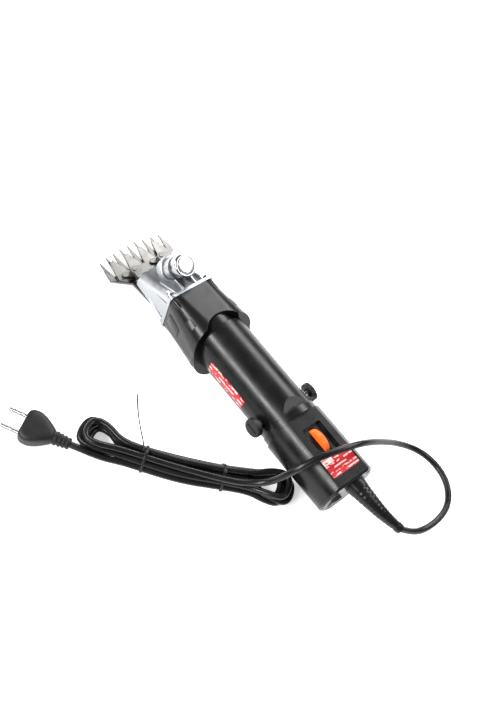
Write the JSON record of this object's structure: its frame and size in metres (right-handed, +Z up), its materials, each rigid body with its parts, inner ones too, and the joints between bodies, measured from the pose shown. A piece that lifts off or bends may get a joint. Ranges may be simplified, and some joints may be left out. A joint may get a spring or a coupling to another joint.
{
  "type": "sheep shears",
  "caption": "Electric hand shears for sheep: toothed comb and cutter, cast head with tension knob, tubular motor body, speed wheel, mains cord with hank and plug.",
  "frame": {"origin": "middle of the box of the shears without the cord, on the surface they rest on", "axes": "+X along the body towards the comb, +Y to the user's left, +Z up"},
  "size_m": [0.4248, 0.346, 0.0809],
  "materials": {
    "blade_steel": "ground, bright",
    "cast_head": "die cast, bead blasted",
    "knob_chrome": "polished, satin knob top",
    "housing_black": "semi-gloss moulded nylon, fine grain",
    "machined_steel": "machined",
    "gear_aluminium": "die cast",
    "bush_bronze": "machined",
    "laminations": "stacked sheet",
    "copper_winding": null,
    "inner_plastic": "moulded",
    "carbon": "pressed carbon",
    "cap_black": "moulded",
    "dial_orange": "moulded, knurled",
    "label_red": "printed and laminated",
    "cord_rubber": "satin",
    "plug_nickel": "nickel plated",
    "plug_black": "moulded"
  },
  "bodies": {
    "shears_body": {"bearing_bracket": "inner_plastic", "brush_springs": "machined_steel", "cap_screws": "machined_steel", "comb": "blade_steel", "comb_screws": "blade_steel", "control_board": "inner_plastic", "cord_clamp": "inner_plastic", "cord_hank": "cord_rubber", "cord_plug_run": "cord_rubber", "cord_tail_run": "cord_rubber", "crank_front_bearing": "machined_steel", "crank_rear_bush": "bush_bronze", "dial_axle": "machined_steel", "dial_bracket": "inner_plastic", "end_cap": "housing_black", "flange_screws": "knob_chrome", "front_bearing": "machined_steel", "fulcrum_post": "machined_steel", "gear_housing": "housing_black", "gear_plate": "gear_aluminium", "hank_ties": "cord_rubber", "head_casting": "cast_head", "left_brush_cap": "cap_black", "left_brush_holder": "plug_nickel", "left_carbon_brush": "carbon", "left_field_coil": "copper_winding", "mains_lead": "cord_rubber", "motor_housing": "housing_black", "plug_body": "plug_black", "plug_pins": "plug_nickel", "rating_label": "label_red", "rear_bearing": "machined_steel", "right_brush_cap": "cap_black", "right_brush_holder": "plug_nickel", "right_carbon_brush": "carbon", "right_field_coil": "copper_winding", "side_label": "label_red", "skirt_screws": "machined_steel", "stator_core": "laminations", "strain_relief": "cord_rubber", "switch_body": "cap_black", "tail_housing": "housing_black", "tension_collar": "knob_chrome"},
    "armature": {"armature_shaft": "machined_steel", "armature_core": "laminations", "armature_winding": "copper_winding", "commutator": "copper_winding", "cooling_fan": "inner_plastic", "drive_pinion": "machined_steel"},
    "crank": {"crank_gear": "machined_steel", "crank_shaft": "machined_steel", "crank_roller": "machined_steel"},
    "fork": {"lever": "blade_steel", "left_cutter_foot": "blade_steel", "right_cutter_foot": "blade_steel", "cutter": "blade_steel"},
    "pressure_pin": {"tension_pin": "knob_chrome"},
    "pressure_knob": {"tension_knob": "knob_chrome"},
    "dial": {"speed_dial": "dial_orange"},
    "switch_rocker": {"rocker": "cap_black"}
  },
  "joints": [
    {"name": "armature_spin", "type": "hinge", "parent": "shears_body", "child": "armature", "pos_m": [0, 0, 0.032], "axis": [1, 0, 0], "continuous": true},
    {"name": "crank_spin", "type": "hinge", "parent": "shears_body", "child": "crank", "pos_m": [0.05, 0, 0.016], "axis": [1, 0, 0], "continuous": true},
    {"name": "fork_swing", "type": "hinge", "parent": "shears_body", "child": "fork", "pos_m": [0.113, 0, 0.0145], "axis": [0, 0, 1], "range_deg": [-7, 7]},
    {"name": "knob_turn", "type": "hinge", "parent": "shears_body", "child": "pressure_knob", "pos_m": [0.1225, 0, 0.025], "axis": [-0.5299, 0, 0.848], "range_deg": [0, 360]},
    {"name": "pin_travel", "type": "slide", "parent": "shears_body", "child": "pressure_pin", "axis": [-0.5299, 0, 0.848], "range_m": [0, 0.00125], "stiffness_N_per_m": 5, "springref_m": 0.03473},
    {"name": "dial_turn", "type": "hinge", "parent": "shears_body", "child": "dial", "pos_m": [-0.1245, 0, 0.0476], "axis": [0, 1, 0], "range_deg": [0, 270]},
    {"name": "rocker_press", "type": "hinge", "parent": "shears_body", "child": "switch_rocker", "pos_m": [-0.1718, 0.0155, 0.029], "axis": [0, 1, 0], "range_deg": [0, 14]}
  ],
  "couplings": [
    {"joint": "crank_spin", "follows": "armature_spin", "ratio": -0.33333},
    {"joint": "pin_travel", "follows": "knob_turn", "m_per_rad": 0.00019894}
  ]
}
